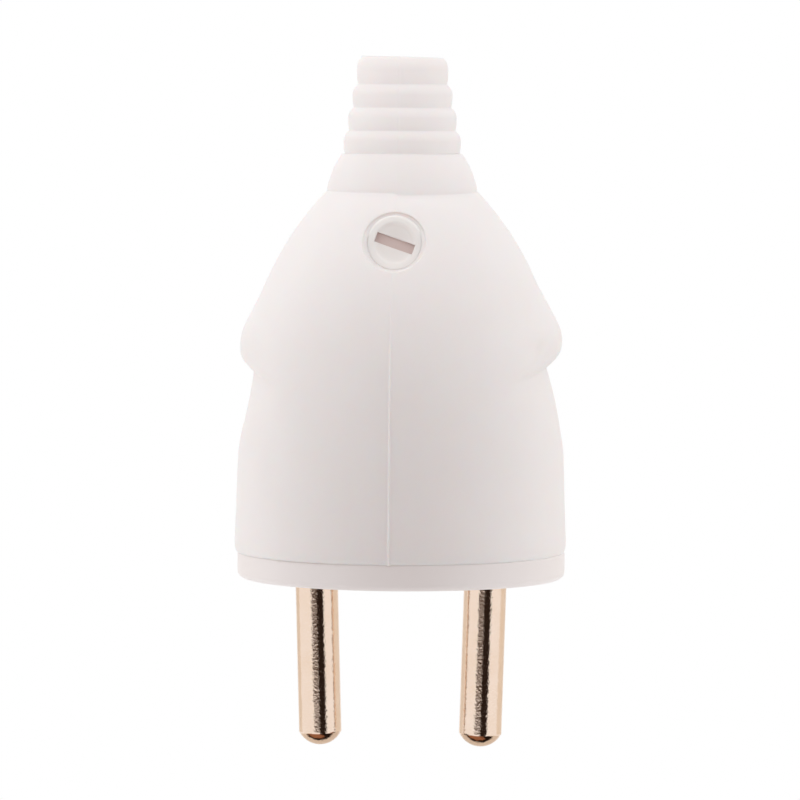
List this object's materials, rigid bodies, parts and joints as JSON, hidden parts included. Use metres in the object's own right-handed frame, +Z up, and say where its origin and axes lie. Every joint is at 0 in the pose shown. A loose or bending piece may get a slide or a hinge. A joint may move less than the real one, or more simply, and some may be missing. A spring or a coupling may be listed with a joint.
{
  "type": "earthed power plug",
  "caption": "Rewireable earthed power plug with round brass pins, a bell-shaped soft cover with finger ledges, and a ringed cord neck.",
  "frame": {"origin": "centre of the engagement face, midway between the pins", "axes": "+Z up the plug's axis to the cord neck, with the pins towards -Z, +X through the live pin, and the cover screw on the -Y side"},
  "size_m": [0.037, 0.037, 0.0774],
  "materials": {
    "cover_pvc": "soft moulded, satin",
    "base_plastic": "moulded, satin",
    "screw_nylon": "moulded, slightly glossy",
    "pin_brass": "drawn and turned, bright",
    "insert_plastic": "moulded",
    "screw_steel": "zinc plated"
  },
  "bodies": {
    "root": {"cover": "cover_pvc", "cover_screw": "screw_nylon", "base": "base_plastic", "pin_live": "pin_brass", "pin_neutral": "pin_brass", "earth_socket": "pin_brass", "terminal_screw_live": "screw_steel", "terminal_screw_neutral": "screw_steel", "terminal_screw_earth": "screw_steel", "insert": "insert_plastic", "insert_screws": "screw_steel", "cord_clamp": "insert_plastic", "cord_clamp_screws": "screw_steel"}
  },
  "joints": []
}
